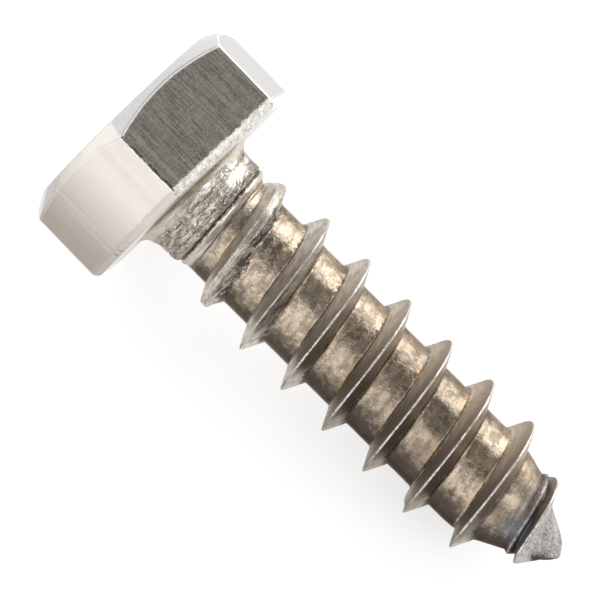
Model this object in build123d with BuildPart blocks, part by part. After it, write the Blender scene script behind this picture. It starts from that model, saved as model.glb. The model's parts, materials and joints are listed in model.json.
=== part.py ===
from build123d import *
import os
from math import atan, ceil, cos, degrees, pi, radians, sin, tan

# A hexagon-head lag bolt, forged and rolled in one piece, lying on its side as it comes to rest.
# It is built along +X, from the seat under its head at X = 0 to its point, with one flat of the
# head facing down. Then it is leaned towards its point and set down on the ground at Z = 0.
# All lengths are in millimetres and all angles in degrees.

# Head
across_flats = 12.2
head_height = 4.95
crown_dia = 10.9  # flat circle that the chamfer leaves on top
crown_chamfer = 30
seat_round = 0.45  # rounded edge between the flats and the seat

# The head is forged a little off the shank's centre and not quite square to it.
head_shift_y = 0.24
head_shift_z = 0.1
head_yaw = 1.95
head_pitch = 1.7

# Neck and root
length = 25.4  # from the seat to the point
neck_dia = 6.04
neck_length = 1.75
neck_taper = 0.6  # length over which the neck drops to the root
neck_fillet = 0.85
neck_rooting = 1  # how deep the shank goes into the head
root_dia = 5.35

# Thread
pitch = 2.822
crest_dia = 7.55
crest_land = 0.16
flank_angle = 26  # from square to the axis
crest_end_gap = 0.346  # from the end of the full crest to the start of the point
thread_rooting = 0.2  # how deep the ridge goes into what carries it

# Blank that the thread is rolled on: it leaves the first turns with a low, flat crest.
start_reach = 1.9  # where the ridge leaves the neck
unfinished_reach = 2.9
unfinished_dia = 6.75
finished_reach = 6.6  # where the blank clears the full crest
blank_clearance = 0.2

# Point, where the thread runs out on a cone
point_length = 4.7
shoulder_dia = 3.35  # half way down the point
tip_length = 0.95  # the steeper end of the point
tip_dia = 1.85
nose_radius = 0.25  # blunt, rounded end
nose_angle = 50
runout_turns = 1.6
runout_steps = 32
runout_dia = 2.4  # where the crest ends
runout_fade = 1.2  # 1 lets the crest fall evenly, more lets it fall late
runout_height = 0.5
runout_land = 0.1

crest_radius = crest_dia / 2
root_radius = root_dia / 2
neck_radius = neck_dia / 2
blank_radius = crest_radius + blank_clearance
ridge_height = crest_radius - root_radius + thread_rooting
crown_drop = (across_flats - crown_dia / 2) * tan(radians(crown_chamfer))
point_start = length - point_length
tip_start = length - tip_length
thread_end = point_start - crest_end_gap
full_turns = ceil((thread_end - start_reach) / pitch)
thread_start = thread_end - full_turns * pitch

bolt_axis = Vector(1, 0, 0)
head_axis = Vector(1, -tan(radians(head_yaw)), tan(radians(head_pitch)))
seat = Plane(origin=(0, head_shift_y, head_shift_z), x_dir=(0, 1, 0), z_dir=head_axis)
head_section = Plane(origin=seat.origin, x_dir=seat.z_dir, z_dir=seat.x_dir)


def outward_plane(point):
    """Axial plane through a point of the thread: x runs along the bolt and y away from its axis."""
    outward = Vector(0, point.Y, point.Z).normalized()
    return Plane(origin=point, x_dir=bolt_axis, z_dir=bolt_axis.cross(outward))


def runout_point(turns):
    """Point of the crest, this many turns past the end of the full thread."""
    fall = (crest_dia - runout_dia) / 2 * (turns / runout_turns) ** runout_fade
    turned = 2 * pi * turns
    reach = crest_radius - fall
    return Vector(thread_end + turns * pitch, -reach * sin(turned), reach * cos(turned))


def ridge_outline(land, height):
    """Closed outline of the thread's ridge, hung from the middle of its crest."""
    spread = land / 2 + height * tan(radians(flank_angle))
    Polyline((-land / 2, 0), (land / 2, 0), (spread, -height), (-spread, -height), close=True)


# Head: a hexagonal prism with a turned crown.
with BuildPart() as head:
    with BuildSketch(seat):
        RegularPolygon(across_flats / 2, 6, major_radius=False)
    extrude(amount=-head_height)
    fillet(head.faces().sort_by(Axis.X)[-1].edges(), seat_round)
    with BuildSketch(head_section):
        with BuildLine():
            Polyline(
                (0, 0),
                (-head_height, 0),
                (-head_height, crown_dia / 2),
                (-head_height + crown_drop, across_flats),
                (0, across_flats),
                close=True,
            )
        make_face()
    revolve(axis=Axis(seat.origin, seat.z_dir), mode=Mode.INTERSECT)

# Shank: neck, root and point, turned about X.
with BuildPart() as shank:
    with BuildSketch(Plane.XZ):
        with BuildLine():
            Polyline(
                (-neck_rooting, 0),
                (-neck_rooting, neck_radius),
                (neck_length, neck_radius),
                (neck_length + neck_taper, root_radius),
                (point_start, root_radius),
            )
            Spline(
                (point_start, root_radius),
                (length - point_length / 2, shoulder_dia / 2),
                (tip_start, tip_dia / 2),
            )
            nose = CenterArc((length - nose_radius, 0), nose_radius, 0, nose_angle)
            Line((tip_start, tip_dia / 2), nose @ 1)
            Line(nose @ 0, (-neck_rooting, 0))
        make_face()
    revolve(axis=Axis.X)

# Thread: a ridge along a helix, cut back by the blank where it starts.
with BuildPart() as thread:
    with BuildLine() as crest:
        Helix(
            pitch,
            full_turns * pitch,
            crest_radius,
            center=(thread_start, 0, 0),
            direction=bolt_axis,
        )
    with BuildSketch(outward_plane(crest.line @ 0)):
        with BuildLine():
            ridge_outline(crest_land, ridge_height)
        make_face()
    sweep(path=crest.line, is_frenet=True)
    with BuildSketch(Plane.XZ):
        with BuildLine():
            Polyline(
                (start_reach, 0),
                (start_reach, root_radius),
                (unfinished_reach, unfinished_dia / 2),
                (finished_reach, blank_radius),
                (length, blank_radius),
                (length, 0),
                close=True,
            )
        make_face()
    revolve(axis=Axis.X, mode=Mode.INTERSECT)

# Runout: the ridge goes on round the point and sinks into it.
with BuildPart() as runout:
    with BuildLine() as last_crest:
        Spline([runout_point(runout_turns * step / runout_steps) for step in range(runout_steps + 1)])
    with BuildSketch(outward_plane(last_crest.line @ 0)) as full_ridge:
        with BuildLine():
            ridge_outline(crest_land, ridge_height)
        make_face()
    with BuildSketch(outward_plane(last_crest.line @ 1)) as last_ridge:
        with BuildLine():
            ridge_outline(runout_land, runout_height)
        make_face()
    sweep(
        sections=[full_ridge.sketch, last_ridge.sketch],
        path=last_crest.line,
        multisection=True,
        is_frenet=True,
    )

with BuildPart() as bolt:
    add(head.part)
    add(shank.part)
    seat_face = bolt.faces().filter_by(seat).sort_by(Axis.X)[-1]
    fillet(seat_face.inner_wires().edges(), neck_fillet)
    add(thread.part)
    add(runout.part)

# At rest it touches the ground with the head's lower edge and the last full crest that points down.
head_low = seat.from_local_coords(Vector(0, seat_round - across_flats / 2, -seat_round))
fall = crest_radius - seat_round + head_low.Z
run = thread_end - pitch / 2 - head_low.X
leaning = Plane.XY.rotated((0, degrees(atan(-fall / run)), 0))
box = (leaning.location * bolt.part).bounding_box()
ground = Plane(
    origin=(-box.center().X, -box.center().Y, -box.min.Z),
    x_dir=leaning.x_dir,
    z_dir=leaning.z_dir,
)
with BuildPart(ground) as lag_bolt:
    add(bolt.part)

os.makedirs("parts", exist_ok=True)
lag_bolt.part.label = "lag_bolt"
export_step(lag_bolt.part, "parts/lag_bolt.step")
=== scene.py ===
import bpy
import json
import numpy as np
from functools import reduce
from math import cos, pi, radians, sin, tan
from types import SimpleNamespace
from mathutils import Matrix, Vector


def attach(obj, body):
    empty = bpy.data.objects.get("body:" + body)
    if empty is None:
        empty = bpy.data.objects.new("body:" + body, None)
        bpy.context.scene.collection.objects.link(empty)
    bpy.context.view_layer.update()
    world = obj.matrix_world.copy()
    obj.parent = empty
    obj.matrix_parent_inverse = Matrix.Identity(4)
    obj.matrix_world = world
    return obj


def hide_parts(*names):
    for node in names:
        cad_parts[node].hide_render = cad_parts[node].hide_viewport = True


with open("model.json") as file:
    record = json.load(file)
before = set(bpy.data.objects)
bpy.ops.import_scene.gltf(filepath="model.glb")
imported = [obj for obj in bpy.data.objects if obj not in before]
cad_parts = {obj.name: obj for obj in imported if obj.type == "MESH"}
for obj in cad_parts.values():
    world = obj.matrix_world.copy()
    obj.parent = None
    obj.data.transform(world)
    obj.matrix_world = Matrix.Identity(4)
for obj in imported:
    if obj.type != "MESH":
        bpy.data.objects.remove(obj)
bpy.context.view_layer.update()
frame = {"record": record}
mm = 0.001


def boltAxes():
    # The thread's mount gives the bolt's axis, and the seat's mount the place of the seat along it.
    # along runs from the seat to the point, across is level, up is square to both.
    mounts = {m["name"]: m for m in frame["record"]["mounts"]}
    along = Vector(mounts["thread"]["axis"]).normalized()
    onAxis = Vector(mounts["thread"]["pos_m"])
    seatPoint = Vector(mounts["seat"]["pos_m"])
    across = Vector((0, 0, 1)).cross(along).normalized()
    up = along.cross(across)
    origin = onAxis + along * (seatPoint - onAxis).dot(along)
    turn = Matrix((along, across, up)).transposed()
    headAlong = Vector(mounts["seat"]["axis"]).normalized()
    headUp = headAlong.cross(across).normalized()
    headTurn = Matrix((headAlong, headUp.cross(headAlong), headUp)).transposed()
    return {"origin": origin, "turn": turn, "seat": seatPoint, "headTurn": headTurn}


axes = boltAxes()
print("bolt axis", tuple(axes["turn"].col[0]))

# sizes of the bolt, in millimetres and degrees, along and around its own axis
bolt = {
    "pitch": 2.822,
    "crestStart": -0.1055,  # where the crest's helix crosses angle 0, for turn 0
    "crestRadius": 3.775,
    "rootRadius": 2.675,
    "crestLand": 0.045,  # half of the crest's flat
    "widestLand": 0.45,  # the same at most, where the blank has cut the ridge low
    "footRound": 0.1,  # roundness where a flank meets the root
    "swell": 0.07,  # the crest stands this much prouder near swellTurn
    "swellTurn": 6.2,
    "flankAngle": 26,
    "neckRadius": 3.02,
    "neckEnd": 1.75,
    "neckTaper": 0.6,
    "neckFillet": 0.85,
    "neckShift": 0.09,  # the neck leans out of line, towards neckShiftAngle
    "neckShiftAngle": 22,
    "length": 25.4,
    "coneStart": 20.7,
    "coneMiddle": 1.675,
    "tipStart": 24.45,
    "tipRadius": 0.97,
    "tipSteps": ((0.32, 0.79), (0.52, 0.61), (0.7, 0.41)),  # how far past tipStart, and the radius
    "noseRadius": 0.25,
    "fullTurns": 7.25,  # the helix's full crest ends here, in turns from angle 0
    "runoutTurns": 1.6,
    "runoutRadius": 1.2,
    "runoutFade": 1.2,
    "lastFade": 0.84,  # from this share of the runout on, the ridge sinks fast into the cone
    "lastFall": 6,  # at this many millimetres for a whole share
    "lastFlank": 9,  # the last turn's point side is this much flatter
    "lastFlankTurns": (8.1, 8.4),
    # the blank's radius at places along the bolt
    "blank": ((1.9, 2.675), (2.9, 3.39), (3.6, 3.5), (4.33, 3.5), (5.7, 3.76), (6.6, 3.975)),
    "neckRowsStart": 0.95,  # rows are rings from here
    "rowsStart": 2.5,  # they follow the helix from here
    "rowsEnd": 24.6,  # to here
    "tipRows": (24.72, 24.84, 24.94, 25.03, 25.12, 25.2),  # and are rings again
}
head = {
    "apothem": 6.1,
    "height": 4.95,
    "crownRadius": 5.45,
    "chamferAngle": 30,
    "cornerRadius": 0.14,
    "seatRound": 0.45,
    # rows of points as shares of the way over the crown, the chamfer and the flats
    "crownRows": (0.15, 0.35, 0.55, 0.75, 0.88, 0.96, 0.985),
    "chamferRows": (0.005, 0.03, 0.15, 0.4, 0.65, 0.85, 0.95),
    "flatRows": (0.006, 0.02, *np.linspace(0.06, 1, 15)),
}


def latticeNoise(points, size, seed):
    # Smooth noise in -1..1: each corner of a cubic lattice of the given size has a random value from a
    # sine of its place, and a point blends its eight corners.
    p = points / size + seed * 17.31
    cell = np.floor(p)
    part = p - cell
    part = part * part * (3 - 2 * part)
    total = np.zeros(p.shape[:-1])
    for corner in np.ndindex(2, 2, 2):
        c = cell + np.array(corner)
        value = np.sin(c @ np.array([127.1, 311.7, 74.7])) * 43758.5453
        value = (value - np.floor(value)) * 2 - 1
        weight = np.prod(np.where(corner, part, 1 - part), axis=-1)
        total += value * weight
    return total


def smoothMax(a, b, width):
    # The larger of two heights, with a round fillet of about that width where they cross.
    return (a + b + np.sqrt((a - b) ** 2 + width**2)) / 2


def smoothMin(a, b, width):
    return -smoothMax(-a, -b, width)


def smoothStep(low, high, x):
    t = np.clip((x - low) / (high - low), 0, 1)
    return t * t * (3 - 2 * t)


def bump(x, middle, width):
    # A bell of height 1 around middle.
    return np.exp(-(((x - middle) / width) ** 2))


def roundPoints(along, angle, radius, shift=0):
    # Points in the bolt's own axes, (along, across, up), at a radius around its axis, which is moved by
    # shift towards neckShiftAngle.
    around = np.radians(angle)
    lean = radians(bolt["neckShiftAngle"])
    across = radius * np.cos(around) + shift * cos(lean)
    up = radius * np.sin(around) + shift * sin(lean)
    return np.stack(np.broadcast_arrays(along, across, up), axis=-1)


def bareRadius(along):
    # Radius of the shank without its thread: neck, taper, root, cone in two slopes, and steep tip.
    b = bolt
    stops = [
        (-1, b["neckRadius"]),
        (b["neckEnd"], b["neckRadius"]),
        (b["neckEnd"] + b["neckTaper"], b["rootRadius"]),
        (b["coneStart"] - 0.5, b["rootRadius"]),
        (b["coneStart"] + 0.35, b["rootRadius"] - 0.14),
        (b["coneStart"] + 1.2, 2.27),
        ((b["coneStart"] + b["length"]) / 2, b["coneMiddle"]),
        (b["tipStart"], b["tipRadius"]),
        *[(b["tipStart"] + past, radius) for past, radius in b["tipSteps"]],
        (b["length"], 0.2),
    ]
    return np.interp(along, *zip(*stops))


def fullCrest(turn):
    # The crest's radius at a turn of the helix: full, a little proud near the end, then falling to the cone.
    b = bolt
    fade = np.clip((turn - b["fullTurns"]) / b["runoutTurns"], 0, 1.5)
    full = b["crestRadius"] - (b["crestRadius"] - b["runoutRadius"]) * fade ** b["runoutFade"]
    full = full + b["swell"] * bump(turn, b["swellTurn"], 0.5)
    return full - b["lastFall"] * np.maximum(fade - b["lastFade"], 0)


def blankRadius(along):
    # The blank's radius, which cuts the first turns of the ridge flat.
    return np.interp(along, *zip(*bolt["blank"]), left=0)


def crestAt(turn):
    # The cut crest's radius and half of its land, at a turn of the helix.
    b = bolt
    full = fullCrest(turn)
    radius = np.minimum(full, blankRadius(b["crestStart"] + b["pitch"] * turn))
    land = b["crestLand"] + (full - radius) * tan(radians(b["flankAngle"]))
    return radius, np.minimum(land, b["widestLand"])


def shankShape(along, angle):
    # Radius of the smooth shank at a place along and around it: the larger of the bare shank and the
    # ridge, whose flanks fall straight from the crest and whose top is cut by the blank.
    b = bolt
    turns = angle / 360
    turn = np.round((along - b["crestStart"]) / b["pitch"] - turns) + turns
    side = along - b["crestStart"] - b["pitch"] * turn
    bare = bareRadius(along)
    top = np.minimum(fullCrest(turn), blankRadius(along))
    flank = b["flankAngle"] + b["lastFlank"] * smoothStep(*b["lastFlankTurns"], turn) * (side > 0)
    ridge = fullCrest(turn) - (np.abs(side) - b["crestLand"]) / np.tan(np.radians(flank))
    ridge = smoothMin(ridge, top, 0.025)
    radius = smoothMax(ridge, bare, b["footRound"])
    radius = radius - b["footRound"] / 2 * bump(ridge - bare, 0, 0.0001 + b["footRound"])
    lift = np.clip((radius - bare) / np.maximum(top - bare, 0.05), 0, 1)
    land = b["crestLand"] + (fullCrest(turn) - top) * tan(radians(b["flankAngle"]))
    rim = bump(np.abs(side), land, 0.03) * smoothStep(0.09, 0.14, land) * (land < 0.5)
    return radius, lift, side, turn, rim


scars = {
    "faceAngle": 22.7,  # angles of the scars are counted from here
    "lapFrom": 0.12,  # the torn skin of the neck, along the bolt
    "lapTo": 1.9,
    "lapHeight": 0.08,
    "crackDepth": 0.085,
    "smoothPatch": (1.0, 42, 0.32, 26),  # place along, angle, and half width each way
    "bandMiddle": 2.06,  # smooth band that ends the neck, tilted like a slanted ring
    "bandTilt": 0.19,
    "bandHalf": 0.17,
    "bandHeight": 0.05,
    "grooveSide": -0.22,  # groove beside the band
    "grooveDepth": 0.14,
    "lineMiddle": 2.38,  # thin lap on the band's other side
    "lineTilt": 0.26,
    "lineDepth": 0.06,
    # side, height and half width of the raised lines along the ridge
    "lip": (-0.52, 0.035, 0.055),  # along the ridge's foot
    "stray": (-1.0, 0.03, 0.05),  # a thin one that closes in on the ridge by strayDrift a turn
    "strayDrift": 0.35,
    "second": (-0.5, 0.3, 0.11),  # a second ridge beside the last turn's
    "third": (-0.95, 0.05, 0.12),  # and a low one beside that
    "teeth": (-0.6, 0.06, 0.07),  # ragged teeth at the ridge's foot
    "tornEdge": (0.33, -0.1, 0.07),  # the first crest is torn along its point side
    # turn, side, height and half width both ways of the spots
    "burr": (6.563, -0.43, 0.3, 0.022, 0.13),  # a torn flap
    "nick": (3.33, 0, -0.05, 0.007, 0.12),
    "flake": (1.37, 0.67, 0.05, 0.02, 0.09),
}


def lineOf(scar, side, shift=0):
    # A raised line's height at a distance across the thread from the ridge.
    middle, height, width = scars[scar]
    return height * bump(side, middle + shift, width)


def spotOf(scar, turn, side):
    # A raised spot's height at a turn of the helix and a distance across the thread.
    middleTurn, middleSide, height, halfTurn, halfSide = scars[scar]
    return height * bump(turn, middleTurn, halfTurn) * bump(side, middleSide, halfSide)


def scarHeights(along, angle, radius, side, turn):
    # How far the surface stands out of or sinks below the smooth shank: torn skin on the neck,
    # a band and its grooves, the lines along the ridge, a burr, a nick and a flake.
    c = scars
    points = roundPoints(along, angle, radius)
    tilt = np.cos(np.radians(angle - c["faceAngle"]))
    warp = latticeNoise(points, 1.3, 3) * 0.4 + latticeNoise(points, 0.45, 4) * 0.1
    drawn = np.stack([(along + warp) * 2.6, points[..., 1], points[..., 2]], axis=-1)
    skin = smoothStep(c["lapFrom"], c["lapFrom"] + 0.5, along)
    skin = skin * smoothStep(c["lapTo"], c["lapTo"] - 0.15, along + c["bandTilt"] * tilt)
    middle, where, halfLong, halfRound = c["smoothPatch"]
    turned = (angle - c["faceAngle"] - where + 180) % 360 - 180
    patch = np.exp(-(((along - middle) / halfLong) ** 2) - (turned / halfRound) ** 2)
    skin = skin * (1 - 0.85 * patch)
    laps = latticeNoise(drawn, 1.0, 5) * 1.7
    terrace = np.floor(laps) + smoothStep(0.0, 0.25, laps - np.floor(laps))
    cracks = np.clip(1 - np.abs(latticeNoise(drawn, 0.9, 6)) / 0.11, 0, 1)
    height = skin * (c["lapHeight"] * terrace / 2 - c["crackDepth"] * cracks)
    band = c["bandMiddle"] - c["bandTilt"] * tilt
    ragged = latticeNoise(points, 0.2, 9)
    height += c["bandHeight"] * bump(along, band, c["bandHalf"])
    groove = bump(along, band + c["grooveSide"] + 0.03 * ragged, 0.075)
    height -= c["grooveDepth"] * groove * (0.8 + 0.3 * ragged)
    line = c["lineMiddle"] - c["lineTilt"] * tilt + 0.06 * latticeNoise(points, 0.7, 10)
    height -= c["lineDepth"] * bump(along, line, 0.045)
    height += smoothStep(3.4, 5.6, turn) * lineOf("lip", side)
    height += smoothStep(6.2, 6.6, turn) * lineOf("stray", side, c["strayDrift"] * (turn - 6.6))
    lastTurn = smoothStep(7.9, 8.08, turn) * (1 - smoothStep(8.5, 8.72, turn))
    height += lastTurn * (lineOf("second", side) + lineOf("third", side))
    toothed = smoothStep(1.7, 2.1, turn) * (1 - smoothStep(4.9, 5.6, turn)) * smoothStep(-0.1, 0.5, tilt)
    height += toothed * np.clip(latticeNoise(points, 0.16, 12) * 2.5, 0, 1) * lineOf("teeth", side)
    height += spotOf("burr", turn, side) + spotOf("nick", turn, side)
    height += spotOf("flake", turn, side) * (1 + 0.6 * ragged)
    threaded = smoothStep(2.5, 3.2, along)
    height += threaded * 0.007 * latticeNoise(points, 0.5, 11)
    height += threaded * (1 - smoothStep(1.45, 1.8, turn)) * lineOf("tornEdge", side, 0.09 * ragged)
    return height


def shankPoints(along, angle):
    # Points of the shank, how high on the ridge each is, and how near to the rim of its crest.
    b = bolt
    along, angle = np.broadcast_arrays(along, angle)
    radius, lift, side, turn, rim = shankShape(along, angle)
    radius = radius + scarHeights(along, angle, radius, side, turn)
    shift = b["neckShift"] * (1 - smoothStep(b["neckEnd"], b["neckEnd"] + 0.8, along))
    return roundPoints(along, angle, radius, shift), np.stack([lift, rim])


def columnAngles():
    # Angles of the columns, in degrees: eight fine steps round each corner of the head, coarse between.
    near = np.arange(-4, 4) * 0.25
    far = np.linspace(1, 59, 49)[:-1]
    sector = np.concatenate([near, far])
    return np.concatenate([sector + 60 * k for k in range(6)])


angles = columnAngles()
columns = len(angles)


def helixRows():
    # Rows that follow the helix. One turn of the sheet is one pitch further on, so row j meets row
    # j + perPitch across the seam. Each pitch has rows at the crest's edges and the flanks' feet.
    b = bolt
    steps = np.array([0, 0.035, 0.06, 0.1, 0.2, 0.35, 0.47, 0.56, 0.64, 0.76, 0.95, 1.18])
    offsets = np.concatenate([steps, b["pitch"] - steps[:0:-1]])
    perPitch = len(offsets)
    first = int(np.floor((b["rowsStart"] - b["crestStart"]) / b["pitch"])) - 2
    last = int(np.ceil((b["rowsEnd"] - b["crestStart"]) / b["pitch"])) + 1
    whole = np.repeat(np.arange(first, last), perPitch)
    offset = np.tile(offsets, last - first)
    nearest = np.where(offset > b["pitch"] / 2, whole + 1, whole)
    side = np.where(offset > b["pitch"] / 2, offset - b["pitch"], offset)
    turn = nearest[:, None] + angles[None, :] / 360
    crest, land = crestAt(turn)
    bare = bareRadius(b["crestStart"] + b["pitch"] * turn)
    foot = land + np.clip(crest - bare, 0.06, None) * tan(radians(b["flankAngle"]))
    plainFoot = b["crestLand"] + (b["crestRadius"] - b["rootRadius"]) * tan(radians(b["flankAngle"]))
    reach = np.abs(side)[:, None]
    half = b["pitch"] / 2
    onLand = reach / b["crestLand"] * land
    onFlank = land + (reach - b["crestLand"]) / (plainFoot - b["crestLand"]) * (foot - land)
    onRoot = foot + (reach - plainFoot) / (half - plainFoot) * (half - foot)
    moved = np.where(reach <= b["crestLand"], onLand, np.where(reach <= plainFoot, onFlank, onRoot))
    along = b["crestStart"] + b["pitch"] * turn + np.sign(side)[:, None] * moved
    return along, perPitch


def hexRadius(angle, apothem, corner):
    # Distance to a hexagon's outline with round corners, from its centre, at an angle.
    fromCorner = (angle + 30) % 60 - 30
    fromFlat = 30 - np.abs(fromCorner)
    flat = apothem / np.cos(np.radians(fromFlat))
    middle = (apothem - corner) / cos(radians(30))
    reach = middle * np.sin(np.radians(fromCorner))
    arc = middle * np.cos(np.radians(fromCorner)) + np.sqrt(np.maximum(corner**2 - reach**2, 0))
    return np.where(np.abs(reach) < corner * 0.5, np.minimum(arc, flat), flat)


def seatHeight(across, up):
    # Place along the bolt of the seat's plane, which isn't square to the bolt.
    normal = axes["turn"].transposed() @ axes["headTurn"].col[0]
    middle = axes["turn"].transposed() @ (axes["seat"] - axes["origin"]) / mm
    return middle[0] - ((across - middle[1]) * normal[1] + (up - middle[2]) * normal[2]) / normal[0]


def headPoints(depth, radius):
    # Points of the head from its own axis, in the bolt's axes. depth is how far above the seat.
    local = roundPoints(-depth, angles, radius)
    turn = np.array(axes["turn"].transposed() @ axes["headTurn"])
    middle = np.array(axes["turn"].transposed() @ (axes["seat"] - axes["origin"])) / mm
    return local @ turn.T + middle


def headRows():
    # The head from its crown's middle to the seat: crown, chamfer, flats and rounded seat edge.
    h = head
    slope = tan(radians(h["chamferAngle"]))
    outline = hexRadius(angles, h["apothem"], h["cornerRadius"])
    edge = h["height"] - (outline - h["crownRadius"]) * slope
    rows = []
    for share in h["crownRows"]:
        rows.append((h["height"] + 0 * angles, share * h["crownRadius"] + 0 * angles))
    for share in h["chamferRows"]:
        radius = h["crownRadius"] + (outline - h["crownRadius"]) * share
        rows.append((h["height"] - (radius - h["crownRadius"]) * slope, radius))
    rows.append((edge - 0.008, outline - 0.008))
    bottom = h["seatRound"]
    for share in h["flatRows"]:
        rows.append((edge + (bottom - edge) * share, outline))
    for turned in np.radians(np.linspace(0, 90, 9)[1:]):
        inset = bottom * (1 - cos(turned))
        rows.append((bottom * (1 - sin(turned)) + 0 * angles, hexRadius(angles, h["apothem"] - inset, 0.1)))
    depth, radius = np.array(rows).transpose(1, 0, 2)
    return headPoints(depth, radius)


def headEdges(part):
    # 1 on the head's edges, which are worn and carry a painted highlight, and 0 a little way from them: its
    # six corners, chamfer and seat edge.
    fromCorner = np.abs((angles + 30) % 60 - 30)
    rows = np.arange(len(part))[:, None]
    firstFlat = len(head["crownRows"]) + len(head["chamferRows"]) + 1
    lastFlat = firstFlat + len(head["flatRows"]) - 1
    corner = bump(fromCorner, 0, 1)[None, :] * (rows >= firstFlat - 2)
    chamfer = bump(rows, firstFlat + 0.6, 1.5)
    seatEdge = smoothStep(lastFlat, lastFlat + 2, rows)
    return np.clip(np.maximum(np.maximum(corner, chamfer), seatEdge), 0, 1)


def filletRows():
    # From the seat to the neck: a quarter round that starts square to the seat's plane.
    b = bolt
    turned = np.radians(np.linspace(0, 90, 16))[:, None]
    angle = angles[None, :] + 0 * turned
    radius = b["neckRadius"] + b["neckFillet"] * (1 - np.sin(turned)) + 0 * angle
    reach = b["neckFillet"] * (1 - np.cos(turned)) + 0 * angle
    radius = radius + scarHeights(reach, angle, radius, 9 + 0 * reach, 0 * reach) * np.sin(turned)
    points = roundPoints(reach, angle, radius, b["neckShift"])
    points[..., 0] += seatHeight(points[..., 1], points[..., 2])
    return points


def skinFaces(count):
    # Quads between each row and the next, all the way round.
    point = np.arange(count * columns).reshape(count, columns)
    beside = np.roll(point, -1, axis=1)
    return np.stack([point[:-1], beside[:-1], beside[1:], point[1:]], axis=-1).reshape(-1, 4)


def buildSkin():
    # The rows of points from the crown to the point, the faces between them, how many rows the head has,
    # and each point's marks: 1 on the head's edges, how high on the ridge, and 1 on the crest's rim.
    b = bolt
    headPart = headRows()
    fillet = filletRows()
    seatPart = headPart[-1] + (fillet[0] - headPart[-1]) * np.array([0.25, 0.5, 0.75])[:, None, None]
    along, perPitch = helixRows()
    neckAlong = np.linspace(b["neckRowsStart"], b["rowsStart"] - 0.04, 38)[:, None]
    tipAlong = np.array(b["tipRows"])[:, None]
    clamped = np.clip(along, b["rowsStart"], b["rowsEnd"])
    parts, shankMarks = zip(*[shankPoints(places, angles) for places in (neckAlong, clamped, tipAlong)])
    noseTurned = np.radians([[42], [60], [76]])
    noseAlong = b["length"] - b["noseRadius"] + b["noseRadius"] * np.sin(noseTurned)
    nose = roundPoints(noseAlong, angles, b["noseRadius"] * np.cos(noseTurned))
    points = np.concatenate([headPart, seatPart, fillet, *parts, nose])
    rowCount = len(points)
    headCount = len(headPart) + len(seatPart)
    shankFirst = headCount + len(fillet)
    threadFirst = shankFirst + len(neckAlong)
    threadLast = threadFirst + len(along) - 1
    # points that were clamped to the first or last ring fold onto that ring
    same = np.arange(rowCount * columns).reshape(rowCount, columns)
    block = same[threadFirst : threadLast + 1]
    block[:] = np.where(along <= b["rowsStart"], block[0], block)
    block[:] = np.where(along >= b["rowsEnd"], block[-1], block)
    # across the seam, the thread's rows meet the rows one pitch further on
    faces = skinFaces(rowCount)
    row = faces[:, 0] // columns
    seam = (row >= threadFirst) & (row < threadLast) & (faces[:, 0] % columns == columns - 1)
    faces[seam, 1] = np.minimum(row[seam] + perPitch, threadLast) * columns
    faces[seam, 2] = np.minimum(row[seam] + perPitch + 1, threadLast) * columns
    faces = same.reshape(-1)[faces]
    marks = np.zeros((3, rowCount, columns))
    marks[0, : len(headPart)] = headEdges(headPart)
    marks[1:, shankFirst : rowCount - len(nose)] = np.concatenate(shankMarks, axis=1)
    return points, faces, headCount, dict(zip(("edge", "lift", "rim"), marks))


def weldFaces(faces):
    # Drops a quad's repeated corner, so a quad with one is a triangle and one with two is gone.
    following = np.roll(faces, -1, axis=1)
    repeats = (faces == following).sum(axis=1)
    crossed = (faces[:, 0] == faces[:, 2]) | (faces[:, 1] == faces[:, 3])
    quads = faces[(repeats == 0) & ~crossed]
    pinched = faces[(repeats == 1) & ~crossed]
    keep = pinched != np.roll(pinched, -1, axis=1)
    triangles = pinched[keep].reshape(-1, 3)
    return quads, triangles


def asTriangles(quads, *others):
    # Every face as three corners: a quad is cut from its first corner to its third.
    halves = np.concatenate([quads[:, [0, 1, 2]], quads[:, [0, 2, 3]]])
    return np.concatenate([halves, *others])


def skinMesh():
    # The sheet of rows, closed by a fan at the crown's middle and one at the point.
    points, faces, headCount, marks = buildSkin()
    quads, pinched = weldFaces(faces)
    crown = headPoints(np.full((1, columns), head["height"]), np.zeros((1, columns)))[0, 0]
    count = points.shape[0] * columns
    ring = np.arange(columns)
    last = count - columns + ring
    crownFan = np.stack([np.full(columns, count), np.roll(ring, -1), ring], axis=1)
    pointFan = np.stack([np.full(columns, count + 1), last, np.roll(last, -1)], axis=1)
    corners = np.concatenate([points.reshape(-1, 3), crown[None], [[bolt["length"], 0, 0]]])
    places = corners @ (np.array(axes["turn"].transposed()) * mm) + np.array(axes["origin"])
    faces = asTriangles(quads, pinched, crownFan, pointFan)
    used = np.zeros(len(places), bool)
    used[faces.reshape(-1)] = True
    onShank = (faces[:, 0] // columns >= headCount) & (faces[:, 0] != count)
    renumber = np.cumsum(used) - 1
    mesh = bpy.data.meshes.new("boltSkin")
    mesh.from_pydata(places[used], [], renumber[faces])
    mesh.polygons.foreach_set("use_smooth", np.ones(len(faces), bool))
    mesh.polygons.foreach_set("material_index", onShank.astype(np.int32))
    for name, values in marks.items():
        data = np.concatenate([values.reshape(-1), [0, 0]])[used]
        mesh.attributes.new(name, "FLOAT", "POINT").data.foreach_set("value", data.astype(np.float32))
    mesh.update()
    return mesh


def addObject(name, data):
    thing = bpy.data.objects.new(name, data)
    bpy.context.scene.collection.objects.link(thing)
    return thing


mesh = skinMesh()
skin = addObject("boltSkin", mesh)
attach(skin, "root")
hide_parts("lag_bolt")
print("skin made,", len(mesh.vertices), "points,", len(mesh.polygons), "triangles")


making = {"tree": None}  # the functions below add their nodes to this tree


def joinTo(value, socket):
    # Sets a socket to a value or a colour, or joins it to another node's output.
    if isinstance(value, bpy.types.NodeSocket):
        making["tree"].links.new(value, socket)
    elif socket.type == "RGBA":
        socket.default_value = (*value, 1)
    else:
        socket.default_value = value


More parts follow.
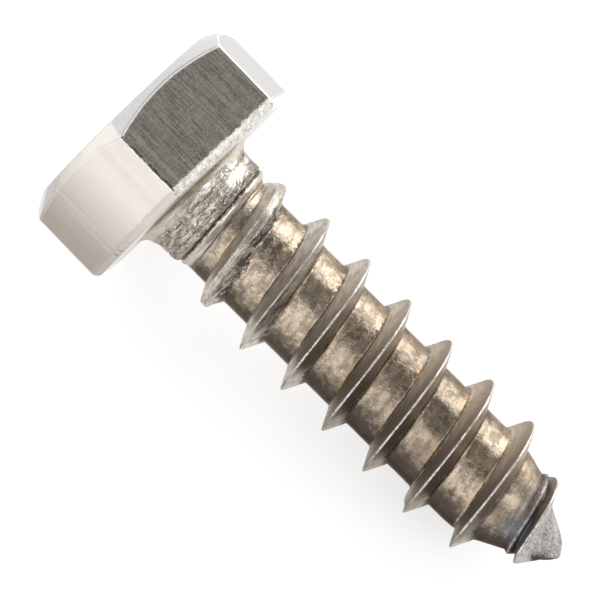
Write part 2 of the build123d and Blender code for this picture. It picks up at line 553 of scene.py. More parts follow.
def setInputs(node, values):
    for name, value in values.items():
        joinTo(value, node.inputs[name])


def addNode(kind, inputs=None, **settings):
    # A node of a kind, with its settings and its inputs.
    node = making["tree"].nodes.new("ShaderNode" + kind)
    for name, value in settings.items():
        setattr(node, name, value)
    setInputs(node, inputs or {})
    return node


def calc(operation, *values):
    # One step of arithmetic on numbers or outputs.
    return addNode("Math", dict(enumerate(values)), operation=operation).outputs[0]


def times(*values):
    return reduce(lambda a, b: calc("MULTIPLY", a, b), values)


def product(term):
    return times(*term) if isinstance(term, tuple) else term


def plus(*terms):
    # The sum of some terms, where a tuple stands for the product of its values.
    return reduce(lambda a, b: calc("ADD", a, b), map(product, terms))


def largest(*terms):
    # The largest of some terms, where again a tuple stands for a product.
    return reduce(lambda a, b: calc("MAXIMUM", a, b), map(product, terms))


def without(mask):
    # The rest of a mask: 1 less its value.
    return calc("SUBTRACT", 1, mask)


def fade(value, low, high, toLow=0.0, toHigh=1.0):
    # Goes smoothly from toLow to toHigh as value goes from low to high.
    inputs = {"Value": value, "From Min": low, "From Max": high, "To Min": toLow, "To Max": toHigh}
    return addNode("MapRange", inputs, interpolation_type="SMOOTHSTEP").outputs["Result"]


def between(value, low, high, soft):
    # 1 where value is between low and high, with soft ends.
    return times(fade(value, low - soft, low + soft), fade(value, high - soft, high + soft, 1, 0))


def lineAt(value, middle, half):
    # 1 on a line where value equals middle, falling to 0 at half its width each side.
    return fade(calc("ABSOLUTE", calc("SUBTRACT", value, middle)), 0, half, 1, 0)


def mix(amount, first, second):
    # The first number where amount is 0 and the second where it is 1.
    return plus(first, (calc("SUBTRACT", second, first), amount))


def blend(amount, first, second):
    # The first colour where amount is 0 and the second where it is 1.
    return addNode("Mix", {0: amount, 6: first, 7: second}, data_type="RGBA").outputs[2]


def coats(color, *layers):
    # A colour under some layers. Each layer is a mask, or some whose product counts, and then its colour.
    for *masks, tone in layers:
        color = blend(times(*masks), color, tone)
    return color


def noiseOf(vector, scale, detail=4.0, rough=0.55, warp=0.0):
    inputs = {"Vector": vector, "Scale": scale, "Detail": detail, "Roughness": rough, "Distortion": warp}
    return addNode("TexNoise", inputs).outputs["Fac"]


def vectorCalc(operation, first, second):
    return addNode("VectorMath", {0: first, 1: second}, operation=operation).outputs[0]


def stretch(vector, amounts):
    # The vector with each of its axes scaled by its own amount.
    return vectorCalc("MULTIPLY", vector, amounts)


def attribute(name):
    return addNode("Attribute", attribute_name=name).outputs["Fac"]


def bumped(height):
    # The normal of a surface whose relief is height, in thousandths of a millimetre.
    inputs = {"Height": height, "Distance": 0.001 * mm, "Strength": 1}
    return addNode("Bump", inputs).outputs["Normal"]


def newGroup(name, inputs, outputs):
    # An empty shader group with named sockets. A point and a value that is a tuple are vectors.
    group = bpy.data.node_groups.new(name, "ShaderNodeTree")
    for label, value in inputs.items():
        kind = "NodeSocketVector" if isinstance(value, tuple) else "NodeSocketFloat"
        group.interface.new_socket(label, in_out="INPUT", socket_type=kind).default_value = value
    for label in outputs:
        kind = "NodeSocketVector" if label == "Point" else "NodeSocketFloat"
        group.interface.new_socket(label, in_out="OUTPUT", socket_type=kind)
    making["tree"] = group
    return group, group.nodes.new("NodeGroupInput").outputs, group.nodes.new("NodeGroupOutput")


def useGroup(group, values=None):
    return addNode("Group", values, node_tree=group)


def placeGroup(name, origin, turn):
    # Where a point of the surface is in millimetres in the bolt's or the head's own axes, how far it is
    # along and around them, and its distance across the thread from the nearest crest.
    group, _, end = newGroup(name, {}, ("Point", "Along", "Around", "Side", "Turn"))
    where = addNode("TexCoord").outputs["Object"]
    place = {"Vector": where, "Location": origin, "Rotation": turn.to_euler(), "Scale": (mm, mm, mm)}
    point = addNode("Mapping", place, vector_type="TEXTURE").outputs["Vector"]
    along, across, up = addNode("SeparateXYZ", {"Vector": point}).outputs
    around = calc("DIVIDE", calc("ARCTAN2", up, across), 2 * pi)
    pitches = calc("DIVIDE", calc("SUBTRACT", along, bolt["crestStart"]), bolt["pitch"])
    phase = calc("SUBTRACT", pitches, around)
    side = times(calc("SUBTRACT", phase, calc("FLOOR", plus(phase, 0.5))), bolt["pitch"])
    setInputs(end, {"Point": point, "Along": along, "Around": around, "Side": side, "Turn": phase})
    return group


boltPlace = placeGroup("boltPlace", axes["origin"], axes["turn"])
headPlace = placeGroup("headPlace", axes["seat"], axes["headTurn"])


def grainGroup():
    # Fine streaks drawn out along one axis, and fine specks: the trace of a die or a belt on the steel.
    inputs = {"Vector": (0, 0, 0), "Fineness": 12, "Length": 0.08}
    group, given, end = newGroup("drawnGrain", inputs, ("Streaks", "Specks"))
    scale = addNode("CombineXYZ", {"X": given["Length"], "Y": 1, "Z": 1}).outputs[0]
    streaks = noiseOf(stretch(given["Vector"], scale), given["Fineness"], detail=5, rough=0.65)
    specks = noiseOf(given["Vector"], times(given["Fineness"], 1.3), detail=3)
    setInputs(end, {"Streaks": streaks, "Specks": specks})
    return group


def stainGroup():
    # Patches of stain: broad cloudy areas with torn edges, broken up by fine specks.
    inputs = {"Vector": (0, 0, 0), "Size": 1, "Amount": 0.5, "Tear": 0.8}
    group, given, end = newGroup("rollStain", inputs, ("Mask",))
    scale = calc("DIVIDE", 1, given["Size"])
    cloud = noiseOf(given["Vector"], scale, detail=7, rough=0.6, warp=given["Tear"])
    specks = noiseOf(given["Vector"], times(scale, 9), detail=3, rough=0.7)
    torn = plus(cloud, (calc("SUBTRACT", specks, 0.5), 0.25))
    edge = without(given["Amount"])
    setInputs(end, {"Mask": fade(torn, calc("SUBTRACT", edge, 0.07), plus(edge, 0.07))})
    return group


def cracksGroup():
    # Torn skin: the edges of long cells, which wander, as a line of a given width, and a tone for each cell.
    inputs = {"Vector": (0, 0, 0), "Size": 1, "Width": 0.06, "Wander": 0.5}
    group, given, end = newGroup("tornSkin", inputs, ("Cracks", "Cells"))
    vector, width = given["Vector"], given["Width"]
    scale = calc("DIVIDE", 1, given["Size"])
    drift = addNode("TexNoise", {"Vector": vector, "Scale": times(scale, 1.7), "Detail": 4}).outputs["Color"]
    centred = vectorCalc("SUBTRACT", drift, (0.5, 0.5, 0.5))
    warped = vectorCalc("ADD", vector, stretch(centred, times(given["Size"], given["Wander"])))
    edges = addNode("TexVoronoi", {"Vector": warped, "Scale": scale}, feature="DISTANCE_TO_EDGE")
    cells = addNode("TexVoronoi", {"Vector": warped, "Scale": scale}, feature="F1")
    cracks = fade(edges.outputs["Distance"], times(width, 0.2), width, 1, 0)
    tone = addNode("SeparateColor", {"Color": cells.outputs["Color"]}).outputs[0]
    setInputs(end, {"Cracks": cracks, "Cells": tone})
    return group


drawnGrain = grainGroup()
rollStain = stainGroup()
tornSkin = cracksGroup()
print("shader groups made")


def newMaterial(name):
    material = bpy.data.materials.new(name)
    material.use_nodes = True
    making["tree"] = material.node_tree
    return material, material.node_tree.nodes["Principled BSDF"]


# colours of the head's steel, where a pair runs from the darker to the lighter
headTones = {
    "plain": ((0.52, 0.515, 0.505), (0.61, 0.605, 0.595)),
    "upperFlat": (0.45, 0.437, 0.415),
    "ground": ((0.18, 0.154, 0.13), (0.66, 0.6, 0.535)),
    "crossLines": (0.2, 0.172, 0.148),
    "longLines": (0.78, 0.73, 0.68),
    "smooth": ((0.73, 0.675, 0.622), (0.82, 0.77, 0.722)),
    "lowerCornerShade": (0.36, 0.32, 0.288),
    "wornHighlight": (0.97, 0.95, 0.92),
    "borderHighlight": (1, 0.98, 0.95),
    "seatEdge": ((0.6, 0.555, 0.5), (1, 0.98, 0.95)),
    "seatLine": (0.42, 0.385, 0.35),
    "rubbed": (0.1, 0.085, 0.07),
    "scratches": (0.3, 0.26, 0.22),
}


def headSteel():
    # Bright forged steel with fine lines along the flats, a rough seat edge, and pale worn edges with a
    # painted highlight.
    # Around is in degrees, and the head's corners are at 0, 60, 120 and so on.
    c = headTones
    material, shader = newMaterial("forgedHead")
    place = useGroup(headPlace)
    point = place.outputs["Point"]
    toSeat, y, z = addNode("SeparateXYZ", {"Vector": point}).outputs
    depth = times(toSeat, -1)
    outward = calc("SQRT", plus((y, y), (z, z)))
    around = times(place.outputs["Around"], 360)
    streaks, specks = useGroup(drawnGrain, {"Vector": point, "Fineness": 12, "Length": 0.06}).outputs
    broad = noiseOf(stretch(point, (0.12, 1, 1)), 0.9, detail=4, rough=0.6)
    long = noiseOf(stretch(point, (0.02, 1, 1)), 3.3, detail=2, rough=0.6)
    pits = noiseOf(point, 4, detail=5, rough=0.7)
    # on the chamfer's cone, depth and slope times outward keep the same sum
    slope = tan(radians(head["chamferAngle"]))
    fromChamfer = plus(depth, (outward, slope), -head["height"] - head["crownRadius"] * slope)
    offCrown = fade(outward, head["crownRadius"] - 0.02, head["crownRadius"] + 0.05)
    onFlats = times(fade(depth, 0.35, 0.45), fade(fromChamfer, -0.05, -0.015, 1, 0), offCrown)
    # the flat from 60 to 120 degrees is ground, the next one is smooth and darkened towards its lower corner
    # by painted shade
    groundFlat = times(between(around, 60.3, 119.7, 0.3), onFlats)
    smoothFlat = times(between(around, 120, 180, 0.7), between(depth, 0.04, 4.9, 0.03), offCrown)
    upperFlat = times(between(around, 0.3, 60, 0.4), onFlats)
    tone = fade(plus((streaks, 0.5), (long, 0.1), (broad, 0.05), (specks, 0.35)), 0.41, 0.58)
    plain = coats(blend(tone, *c["plain"]), (upperFlat, 0.55, c["upperFlat"]))
    crossLines = noiseOf(stretch(point, (6, 0.8, 0.8)), 1.6, detail=3, rough=0.6)
    ground = coats(
        blend(tone, *c["ground"]),
        (fade(crossLines, 0.45, 0.6, 0, 0.3), c["crossLines"]),
        (fade(long, 0.62, 0.7), 0.3, c["longLines"]),
    )
    smooth = coats(
        blend(fade(plus((streaks, 0.25), (broad, 0.75)), 0.35, 0.65), *c["smooth"]),
        # painted shade towards the smooth flat's lower corner
        (fade(plus(around, (broad, 22)), 144, 190), c["lowerCornerShade"]),
    )
    # the edges are pale from wear and from a painted highlight, which is weaker on the smooth flat
    wornHighlight = fade(plus(attribute("edge"), (pits, 0.6)), 0.95, 1.15)
    # a painted highlight runs along the border between the chamfer and the ground flat
    borderHighlight = lineAt(plus(fromChamfer, (pits, 0.05)), -0.05, 0.05)
    borderHighlight = times(borderHighlight, between(around, 60.5, 119.5, 0.5))
    # the seat's edge is rough and bright beside the ground flat, with a torn border
    seatSide = fade(plus(depth, (pits, 0.5)), 0.74, 0.82, 1, 0)
    besideGround = largest(between(around, 60.3, 119.5, 0.5), (between(around, -60, 60.3, 0.5), 0.3))
    onSeat = times(seatSide, fade(plus(outward, (pits, 0.5)), 5.55, 5.9), besideGround)
    seatEdge = blend(fade(plus((pits, 0.6), (specks, 0.4)), 0.4, 0.56), *c["seatEdge"])
    # the corner at 120 degrees is rubbed dark, in nicks
    nicks = noiseOf(point, 2.4, detail=4, rough=0.7)
    rubbed = times(lineAt(plus(around, (nicks, 3.2)), 121.2, 0.85), fade(nicks, 0.38, 0.52, 0.35, 1))
    # long scratches along the smooth flat: each one's place across it, half width and depth
    acrossFlat = plus((y, -0.5), (z, -0.866), (noiseOf(point, 0.5, detail=2), 0.12))
    lines = ((1.35, 0.05, 0.9), (1.7, 0.08, 1.2), (-0.73, 0.03, 0.2), (0.64, 0.03, 0.25))
    scratches = largest(*[(lineAt(acrossFlat, middle, half), deep) for middle, half, deep in lines])
    scratches = times(scratches, smoothFlat, fade(broad, 0.3, 0.5, 0.35, 1))
    color = coats(
        plain,
        (groundFlat, ground),
        (smoothFlat, smooth),
        (wornHighlight, mix(smoothFlat, 0.85, 0.15), c["wornHighlight"]),
        (borderHighlight, 0.85, c["borderHighlight"]),
        (onSeat, seatEdge),
        (seatSide, smoothFlat, 0.45, c["seatLine"]),
        (rubbed, onFlats, c["rubbed"]),
        (scratches, 0.5, c["scratches"]),
    )
    rough = mix(groundFlat, 0.24, fade(streaks, 0.35, 0.65, 0.38, 0.25))
    rough = mix(onSeat, mix(smoothFlat, rough, 0.26), 0.36)
    relief = plus((streaks, mix(smoothFlat, 1, 0.3), 5), (specks, 1.5), (scratches, -26), (pits, onSeat, 75))
    relief = plus(relief, (broad, 8), (onSeat, 8), (rubbed, -10))
    metal = without(times(borderHighlight, 0.8))
    setInputs(shader, {"Base Color": color, "Metallic": metal, "Roughness": rough, "Normal": bumped(relief)})
    return material


# colours of the shank's steel, where a pair runs from the darker to the lighter
threadTones = {
    "root": ((0.38, 0.305, 0.228), (0.6, 0.5, 0.39)),
    "stain": (0.17, 0.13, 0.095),
    "rolled": (0.19, 0.145, 0.105),
    "smoke": (0.15, 0.115, 0.085),
    "gilt": (0.46, 0.3, 0.155),
    "blue": (0.15, 0.165, 0.185),
    "bathed": (0.062, 0.05, 0.043),
    "cone": ((0.3, 0.288, 0.265), (0.66, 0.648, 0.62)),
    "lastTurn": ((0.04, 0.036, 0.04), (0.17, 0.125, 0.12)),
    "lastTurnAbove": (0.17, 0.19, 0.215),
    "flank": ((0.25, 0.21, 0.17), (0.46, 0.405, 0.345)),
    "headFlank": ((0.46, 0.395, 0.32), (0.86, 0.775, 0.665)),
    "smokyFlank": (0.3, 0.228, 0.162),
    "bathedFlank": (0.07, 0.056, 0.046),
    "highFlank": (0.2, 0.165, 0.13),
    "flankShade": (0.1, 0.078, 0.06),
    "lit": ((0.52, 0.465, 0.4), (0.78, 0.72, 0.64)),
    "smokyLit": (0.47, 0.365, 0.262),
    "browned": (0.17, 0.13, 0.095),
    "floorReflection": ((0.62, 0.57, 0.51), (0.96, 0.92, 0.87)),
    "footCreaseShade": (0.1, 0.08, 0.06),
    "crest": ((0.58, 0.54, 0.5), (0.85, 0.81, 0.76)),
    "crestShade": (0.2, 0.18, 0.16),
    "crestDeepShade": (0.06, 0.05, 0.045),
    "firstCrest": ((0.35, 0.3, 0.245), (0.6, 0.54, 0.46)),
    "rim": (0.97, 0.95, 0.92),
    "lip": (0.75, 0.72, 0.66),
    "neck": ((0.3, 0.25, 0.2), (0.8, 0.745, 0.67)),
    "neckShadeBelow": (0.3, 0.255, 0.205),
    "bathedNeck": (0.25, 0.21, 0.17),
    "cracks": (0.12, 0.095, 0.072),
    "shreds": ((0.045, 0.036, 0.03), (0.8, 0.75, 0.68)),
    "flake": (0.62, 0.56, 0.49),
    # what is left of a reflection that is seen edge on
    "rootTint": (0.58, 0.54, 0.5),
    "bathedTint": (0.44, 0.41, 0.39),
    "flankTint": (0.85, 0.83, 0.8),
    "neckTint": (0.85, 0.82, 0.78),
}


def threadMarks():
    # What the looks of the shank share: places on it, noises, and masks. Tilt is the cosine of the angle
    # from the upper side, and the shaded underside is painted shade on the side away from it.
    m = SimpleNamespace(lift=attribute("lift"), rim=attribute("rim"))
    m.point, m.along, m.around, m.side, m.turn = useGroup(boltPlace).outputs
    _, y, z = addNode("SeparateXYZ", {"Vector": m.point}).outputs
    wound = addNode("CombineXYZ", {"X": y, "Y": z, "Z": m.side}).outputs[0]
    m.windLines = noiseOf(stretch(wound, (1, 1, 8)), 1.3, detail=6, rough=0.62)
    m.bands = noiseOf(stretch(wound, (0.4, 0.4, 2.4)), 1.2, detail=4, rough=0.6)
    m.fine = noiseOf(m.point, 9, detail=4, rough=0.7)
    m.medium = noiseOf(m.point, 2.6, detail=5, rough=0.6)
    m.broad = noiseOf(m.point, 0.8, detail=3, rough=0.55)
    m.tilt = calc("COSINE", times(calc("SUBTRACT", m.around, scars["faceAngle"] / 360), 2 * pi))
    m.smoke = fade(plus(m.along, (m.broad, 4)), 7, 18)
    # painted shade: the lower side of the shank is darkened
    m.bathed = fade(plus(m.tilt, (m.medium, 0.5), (m.broad, 0.3), (m.smoke, -0.16)), -0.52, -0.1, 1, 0)
    m.lit = fade(plus(m.tilt, (m.medium, 0.3)), 0.3, 0.95)
    m.cone = fade(m.along, 21.6, 23.6)
    m.coneColor = blend(fade(plus((m.fine, 0.65), (m.medium, 0.35)), 0.41, 0.57), *threadTones["cone"])
    m.firstCrest = fade(m.turn, 1.75, 2.5, 1, 0)
    m.lastTurn = between(m.turn, 7.5, 8.4, 0.06)
    m.besideLast = times(between(plus(m.side, (m.medium, 0.3)), -0.8, 0.06, 0.12), m.lastTurn)
    m.lastColor = coats(
        blend(fade(plus((m.medium, 0.3), (m.windLines, 0.7)), 0.4, 0.58), *threadTones["lastTurn"]),
        (fade(plus(m.tilt, (m.bands, 1.4)), 0.5, 1.1, 0.6, 0), threadTones["lastTurnAbove"]),
    )
    m.headFlank = fade(m.side, -0.05, 0.05, 1, 0)
    # the flank's foot is a clean line on the head side, and fades raggedly into the root on the point side
    ragged = plus(m.lift, (calc("SUBTRACT", m.medium, 0.5), -0.9), (calc("SUBTRACT", m.fine, 0.5), -0.5))
    m.onFlank = mix(m.headFlank, fade(ragged, 0.06, 0.34), fade(m.lift, 0.06, 0.22))
    m.onFlank = times(m.onFlank, fade(m.lift, 0, 0.04))
    m.flankTone = fade(plus((m.windLines, 0.75), (m.fine, 0.25)), 0.39, 0.6)
    m.onCrest = fade(plus(m.lift, (m.fine, 0.06)), 1, 1.022)
    m.onCrest = times(m.onCrest, fade(plus((m.fine, 0.6), (m.medium, 0.4)), 0.4, 0.52, 0.3, 1))
    m.stain = useGroup(rollStain, {"Vector": m.point, "Size": 0.75, "Amount": 0.44, "Tear": 0.25}).outputs[0]
    return m


def rootColor(m):
    # Tan, mottled with brown, gilded by the heat near its head side, and blue towards the tip.
    c = threadTones
    gilt = times(lineAt(m.side, -0.62, 0.28), fade(m.broad, 0.42, 0.6), fade(m.along, 9, 12, 0, 0.75))
    blue = lineAt(plus(m.side, (m.medium, 0.8)), -0.75, 0.5)
    return coats(
        blend(fade(plus((m.medium, 0.6), (m.fine, 0.4)), 0.36, 0.64), *c["root"]),
        (m.stain, 0.68, c["stain"]),
        (fade(plus((m.bands, 0.75), (m.fine, 0.25)), 0.4, 0.54, 0.62, 0), c["rolled"]),
        (m.smoke, fade(m.along, 17.8, 18.8, 0.38, 0.1), c["smoke"]),
        (gilt, 0.85, c["gilt"]),
        (m.cone, 0.9, m.coneColor),
        (blue, m.lastTurn, fade(plus(m.tilt, (m.bands, 1.6)), 0.4, 1.2, 0.75, 0.1), c["blue"]),
        (m.besideLast, 0.93, m.lastColor),
        # painted shade darkens the root on its lower side
        (m.bathed, 0.92, c["bathed"]),
    )


def flankColor(m):
    # Grey with streaks along the helix, with a painted highlight on the upper side, painted shade below, and
    # a painted reflection of the floor where the first turns are lowest.
    c = threadTones
    highUp = times(m.headFlank, fade(plus(m.lift, (m.medium, 0.3)), 0.55, 1))
    # painted shade across the flanks' lower front, growing towards the tip and left off at the very bottom
    shadedFlank = times(
        fade(plus(m.along, (m.broad, 4)), 3, 15, 0.2, 0.9),
        fade(plus(m.tilt, (m.medium, 0.4)), -0.2, 0.75, 1, 0),
        fade(plus(m.tilt, (m.medium, 0.3)), -0.76, -0.58),
    )
    # a painted reflection of the pale floor on the lowest flanks of the first turns
    floorReflection = fade(plus(m.tilt, (m.medium, 0.3)), -0.68, -0.42, 1, 0)
    return coats(
        blend(m.flankTone, *c["flank"]),
        (m.headFlank, 0.7, blend(m.flankTone, *c["headFlank"])),
        (m.smoke, 0.6, c["smokyFlank"]),
        # painted shade darkens the flanks' feet on the lower side
        (m.bathed, fade(m.lift, 0.1, 0.35, 0.6, 0), c["bathedFlank"]),
        (highUp, 0.4, c["highFlank"]),
        (shadedFlank, c["flankShade"]),
        (m.lit, 0.55, blend(m.smoke, blend(m.flankTone, *c["lit"]), c["smokyLit"])),
        (m.besideLast, 0.85, m.lastColor),
        (highUp, fade(m.along, 8, 14, 0, 0.5), c["browned"]),
        (floorReflection, fade(m.along, 8, 13, 0.65, 0), blend(m.flankTone, *c["floorReflection"])),
        (fade(m.side, 0.02, 0.08), fade(m.turn, 7.85, 8), 0.9, m.coneColor),
    )


def crestColor(m):
    # Bright, with painted shade on the lower side, and duller on the first turns.
    c = threadTones
    tilted = plus(m.tilt, (m.fine, 0.3))
    return coats(
        blend(m.flankTone, *c["crest"]),
        (fade(tilted, -0.8, -0.25, 0.8, 0), c["crestShade"]),
        (fade(tilted, -0.85, -0.55, 0.5, 0), c["crestDeepShade"]),
        (m.firstCrest, blend(m.flankTone, *c["firstCrest"])),
    )


def neckMarks(m):
    # Masks of the torn neck: its skin, long dark cracks, and the smooth band between two grooves.
    drawn = {"Vector": stretch(m.point, (5, 0.8, 0.8)), "Width": 0.07, "Wander": 0.9}
    cracks, m.cells = useGroup(tornSkin, drawn).outputs
    m.tornPart = fade(plus(m.broad, (m.tilt, -0.14)), 0.52, 0.64)
    # three crevices wander round it, each about its own place, and the steel past each one stands higher
    wander = {"Vector": stretch(m.point, (1.2, 1, 1)), "Scale": 0.75, "Detail": 5, "Roughness": 0.62}
    wander = addNode("TexNoise", wander).outputs["Color"]
    wanders = addNode("SeparateColor", {"Color": wander}).outputs
    places = []
    for channel, middle, slope in ((0, 0.72, 0.05), (1, 1.0, 0.42), (2, 1.5, 0.1)):
        places.append(plus(m.along, (m.tilt, slope), (wanders[channel], 1.5), (m.fine, 0.1), -middle - 0.8))
    crevices = largest(*[lineAt(away, 0, half) for away, half in zip(places, (0.05, 0.065, 0.055))])
    m.steps = plus(*[fade(away, -0.12, 0.02) for away in places])
    # above, a fourth one slants into the band, and the steel between them is dark and crumbled
    fromSlant = plus(m.along, (m.tilt, 1.5), (wanders[0], 0.9), (m.fine, 0.15), -2.9)
    above = fade(m.tilt, 0.25, 0.4)
    m.strands = noiseOf(stretch(m.point, (4.4, 0.8, 0.8)), 0.9, detail=5, rough=0.6, warp=0.7)
    level = times(noiseOf(stretch(m.point, (2.3, 0.6, 0.6)), 0.9, detail=3.5, rough=0.55, warp=0.7), 5)
    m.terrace = calc("FRACT", level)
    cracks = largest(
        (fade(m.terrace, 0, 0.26, 1, 0), fade(m.medium, 0.36, 0.54, 0.35, 1), 0.55),
        (cracks, m.tornPart, 0.5),
        (crevices, fade(m.medium, 0.4, 0.54, 0.3, 1)),
        (lineAt(fromSlant, 0, 0.06), above),
        (fade(fromSlant, 0, 0.15), above, fade(m.fine, 0.44, 0.54, 0.25, 0.9)),
    )
    m.fromBand = plus(m.along, (m.tilt, scars["bandTilt"]), -scars["bandMiddle"], (m.medium, 0.1))
    smooth = times(lineAt(m.along, 1, 0.55), between(times(m.around, 360), 45, 85, 14))
    m.onSkin = times(
        between(plus(m.along, (m.medium, 0.5)), 0.65, 4, 0.2),
        fade(m.fromBand, -0.2, -0.13, 1, 0),
        without(times(smooth, 0.9)),
    )
    m.cracks = times(cracks, m.onSkin)
    besideBand = times(between(plus(m.fromBand, (m.medium, 0.5)), -0.3, 0.05, 0.08), fade(m.fine, 0.47, 0.55))
    groove = lineAt(plus(m.fromBand, (m.fine, 0.12)), -0.1, 0.12)
    m.groove = largest(groove, (besideBand, fade(m.tilt, -0.2, 0.6, 0.4, 0.85)))
    fromLine = plus(m.along, (m.tilt, scars["lineTilt"]), (m.broad, 0.25), (m.fine, 0.1))
    m.thinLine = lineAt(fromLine, scars["lineMiddle"] + 0.17, 0.06)
    m.onNeck = fade(plus(m.along, (m.medium, 0.5)), 2.75, 3.15, 1, 0)


def neckColor(m, root):
    c = threadTones
    tone = fade(plus((m.strands, 0.6), (m.fine, 0.2), (m.medium, 0.2)), 0.36, 0.54)
    return coats(
        blend(largest(tone, (without(m.onSkin), 0.7)), *c["neck"]),
        # painted shade darkens the neck on its lower side
        (fade(plus(m.tilt, (m.broad, 0.5)), -0.4, 0.6, 0.42, 0), c["neckShadeBelow"]),
        (fade(m.fromBand, 0.22, 0.42), 0.75, root),
        # painted shade darkens the torn skin on the lower side
        (m.bathed, m.onSkin, 0.35, c["bathedNeck"]),
        (largest((m.cracks, 0.95), m.groove, (m.thinLine, 0.8)), 0.92, c["cracks"]),
    )


def threadSteel():
    # Rolled steel: bright narrow crests, grey flanks, a stained and mottled root, and a bright torn neck.
    # Relief is in thousandths of a millimetre.
    c = threadTones
    material, shader = newMaterial("rolledThread")
    m = threadMarks()
    neckMarks(m)
    root = rootColor(m)
    bareNeck = times(m.onNeck, without(m.onFlank))
    # painted shade in the crease along the flank's foot
    footCreaseShade = times(lineAt(m.lift, 0.07, 0.065), fade(m.fine, 0.35, 0.55, 0.9, 0.4))
    bright = fade(plus((m.medium, 0.5), (m.fine, 0.5)), 0.42, 0.56, 0.05, 0.85)
    lip = times(lineAt(m.side, -0.53, 0.09), fade(m.turn, 3.4, 5.8), fade(m.medium, 0.4, 0.55, 0.1, 0.5))
    # the first turn of the ridge is torn open along its point side, into dark pits and bright shreds
    torn = between(plus(m.side, (m.medium, 0.6), (m.fine, 0.2)), 0.58, 1.05, 0.06)
    torn = times(torn, m.firstCrest, fade(m.along, 2.4, 2.9))
    shreds = blend(fade(plus((m.strands, 0.5), (m.fine, 0.5)), 0.46, 0.55), *c["shreds"])
    turnsAway = calc("DIVIDE", calc("SUBTRACT", m.around, scars["flake"][0] - 1), 0.02)
    sideAway = calc("DIVIDE", calc("SUBTRACT", m.side, scars["flake"][1]), 0.17)
    squares = plus((turnsAway, turnsAway), (sideAway, sideAway), (m.fine, 1.6), (m.medium, 1.2))
    flake = times(fade(squares, 1.6, 2.2, 1, 0), m.firstCrest)
    color = coats(
        root,
        (m.onFlank, flankColor(m)),
        (footCreaseShade, mix(m.headFlank, fade(m.bands, 0.42, 0.56, 0.75, 0), 1), 0.75, c["footCreaseShade"]),
        (m.onCrest, crestColor(m)),
        # a painted highlight along the crest's rims, faint on the lower side
        (m.rim, bright, fade(plus(m.tilt, (m.medium, 0.4)), -0.6, -0.15, 0.1, 1), c["rim"]),
        (lip, c["lip"]),
        (bareNeck, neckColor(m, root)),
        (torn, 0.92, shreds),
        (flake, 0.35, c["flake"]),
    )
    # what lies on the steel dulls it where it is seen edge on, most of all in the root
    # the reflection is dimmed on the lower side as painted shade
    tint = coats(c["rootTint"], (m.bathed, m.smoke, c["bathedTint"]))
    tint = coats(tint, (m.onFlank, c["flankTint"]), (bareNeck, c["neckTint"]))
    matt = plus(mix(m.headFlank, 0.3, 0.38), (m.lit, 0.25))
    matt = times(matt, m.onFlank, without(times(m.onCrest, 0.7)))
    flankRough = plus(fade(m.windLines, 0.3, 0.7, 0.36, 0.27), (m.headFlank, 0.16))
    rough = mix(m.onFlank, fade(m.medium, 0.3, 0.7, 0.13, 0.25), flankRough)
    rough = mix(m.onCrest, rough, 0.25)
    rough = mix(times(fade(m.along, 20, 21.5), without(m.onFlank)), rough, 0.33)
    rough = mix(times(m.cone, without(m.onCrest)), rough, 0.48)
    neckRough = plus(fade(m.fine, 0.35, 0.65, 0.18, 0.3), fade(m.tilt, -0.5, 0.5, 0.06, 0))
    rough = mix(m.onNeck, rough, neckRough)
    noises = ((m.medium, 24), (m.windLines, 11), (m.fine, 6))
    rootRelief = plus(*noises, (m.stain, -8), (m.broad, 34), (m.cone, m.fine, 22))
    flankRelief = plus((m.windLines, 30), (m.fine, 5))
    neckRelief = plus(
        (m.medium, 26),
        (m.fine, 4),
        (m.cracks, -34),
        (m.thinLine, -25),
        (m.terrace, m.onSkin, 24),
        (m.steps, m.onSkin, 30),
        (m.strands, mix(m.onSkin, 12, 32)),
        (m.cells, m.tornPart, 9),
    )
    relief = mix(bareNeck, mix(m.onFlank, rootRelief, flankRelief), neckRelief)
    relief = plus(relief, (torn, m.fine, 60), (torn, m.strands, 120), (flake, 35))
    looks = {"Base Color": color, "Specular Tint": tint, "Metallic": without(matt), "Roughness": rough}
    setInputs(shader, {**looks, "Normal": bumped(relief)})
    return material


mesh.materials.append(headSteel())
mesh.materials.append(threadSteel())
print("materials made")

# brightness of each lamp, of the sky and of the floor's own light
studio = {"sky": 0.34, "farSide": 2.45, "nearSide": 1.12, "headEnd": 1.9, "pointEnd": 1.5, "glow": 0.6}
floorMesh = bpy.data.meshes.new("floor")
floorMesh.from_pydata([(-1, -1, 0), (1, -1, 0), (1, 1, 0), (-1, 1, 0)], [], [(0, 1, 2, 3)])
floor = addObject("floor", floorMesh)
pale, paleShader = newMaterial("pale")
setInputs(paleShader, {"Base Color": (0.55, 0.55, 0.55), "Roughness": 0.9})
setInputs(paleShader, {"Emission Color": (1, 1, 1), "Emission Strength": studio["glow"]})
floorMesh.materials.append(pale)

sky = bpy.data.worlds.new("studio")
bpy.context.scene.world = sky
sky.use_nodes = True
setInputs(sky.node_tree.nodes["Background"], {"Color": (1, 1, 1), "Strength": studio["sky"]})


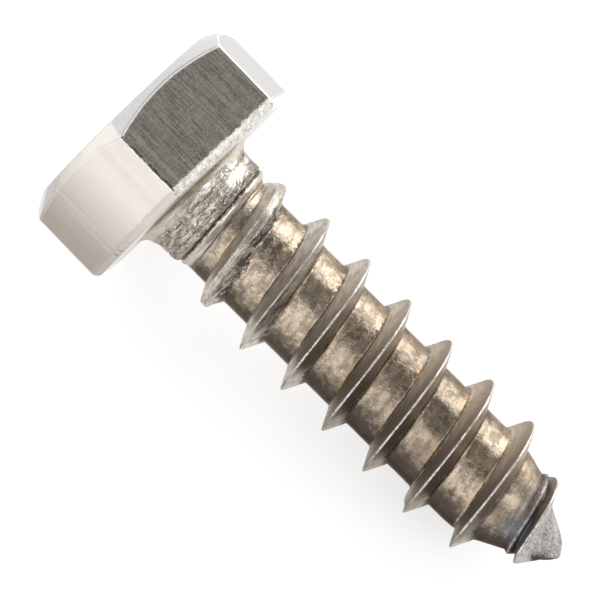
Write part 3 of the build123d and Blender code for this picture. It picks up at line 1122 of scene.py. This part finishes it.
def softbox(name, place, width, height):
    # A rectangular lamp that faces the bolt, as bright as the studio says whatever its size.
    data = bpy.data.lights.new(name, "AREA")
    data.shape = "RECTANGLE"
    data.size = width
    data.size_y = height
    data.energy = studio[name] * pi * width * height
    lamp = addObject(name, data)
    lamp.location = place
    lamp.rotation_euler = (-Vector(place)).to_track_quat("-Z", "Y").to_euler()


print("floor and sky made")
softbox("farSide", (0, 0.6, 0.254), 0.9, 0.55)
softbox("nearSide", (0, -0.573, 0.402), 0.9, 0.81)
softbox("headEnd", (-0.6, 0, 0.5), 0.5, 0.5)
softbox("pointEnd", (0.6, 0, 0.5), 0.5, 0.5)
print("lamps placed")

view = {
    "distance": 0.2927,
    "lens": 360,
    "roll": 45,
    "aimAlong": 7.517,  # mm from the seat to the point that the camera looks at
    "aimDown": 0.0117,
    "around": 22.7,  # the camera's place around the bolt, from straight above, in degrees
    "ahead": 2.6,  # and towards the head
    "skew": 0.17,
}


def placeCamera():
    # The camera looks square at the bolt from above and a little from its head's side, and is rolled
    # so that the bolt runs down to the right.
    turn = axes["turn"]
    around = radians(view["around"])
    upper = turn @ Vector((0, cos(around), sin(around)))
    facing = turn @ Vector((0, -sin(around), cos(around)))
    along = turn @ Vector((1, 0, 0))
    e = radians(view["ahead"])
    g = radians(view["skew"])
    outward = facing * cos(e) - along * sin(e)
    ahead = along * cos(e) + facing * sin(e)
    alongView = ahead * cos(g) - upper * sin(g)
    upperView = ahead * sin(g) + upper * cos(g)
    roll = radians(view["roll"])
    right = alongView * cos(roll) + upperView * sin(roll)
    top = upperView * cos(roll) - alongView * sin(roll)
    aim = axes["origin"] + along * (view["aimAlong"] * mm) - upperView * (view["aimDown"] * mm)
    data = bpy.data.cameras.new("camera")
    data.sensor_width = 36
    data.lens = view["lens"]
    data.clip_start = 0.01
    camera = addObject("camera", data)
    place = Matrix((right, top, outward)).transposed().to_4x4()
    place.translation = aim + outward * view["distance"]
    camera.matrix_world = place
    bpy.context.scene.camera = camera


placeCamera()
print("camera placed")
bpy.context.scene.view_settings.view_transform = "Standard"
